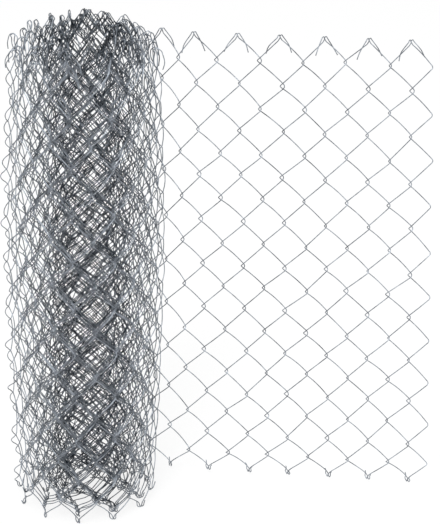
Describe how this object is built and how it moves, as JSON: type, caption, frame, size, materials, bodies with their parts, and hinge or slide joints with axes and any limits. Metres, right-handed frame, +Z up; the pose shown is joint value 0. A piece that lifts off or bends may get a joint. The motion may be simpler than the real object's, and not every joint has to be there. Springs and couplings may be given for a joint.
{
  "type": "roll of chain link fencing",
  "caption": "Upright roll of knuckled chain link fencing in galvanised wire, its free end drawn out to one side as a flat panel of diamond mesh.",
  "frame": {"origin": "centre of the roll's bore, on the floor it stands on", "axes": "+Z up along the roll's axis, +X the way the free end is drawn out, -Y towards the viewer of the picture"},
  "size_m": [0.8052, 0.296, 0.9315],
  "materials": {
    "galvanised_wire": "hot-dip galvanised wire, dull bluish grey with a faint spangle"
  },
  "bodies": {
    "root": {"roll": "galvanised_wire", "picket_01": "galvanised_wire", "picket_02": "galvanised_wire", "picket_03": "galvanised_wire", "picket_04": "galvanised_wire", "picket_05": "galvanised_wire", "picket_06": "galvanised_wire", "picket_07": "galvanised_wire", "picket_08": "galvanised_wire", "picket_09": "galvanised_wire", "picket_10": "galvanised_wire", "picket_11": "galvanised_wire", "picket_12": "galvanised_wire", "picket_13": "galvanised_wire", "picket_14": "galvanised_wire", "picket_15": "galvanised_wire"}
  },
  "joints": []
}
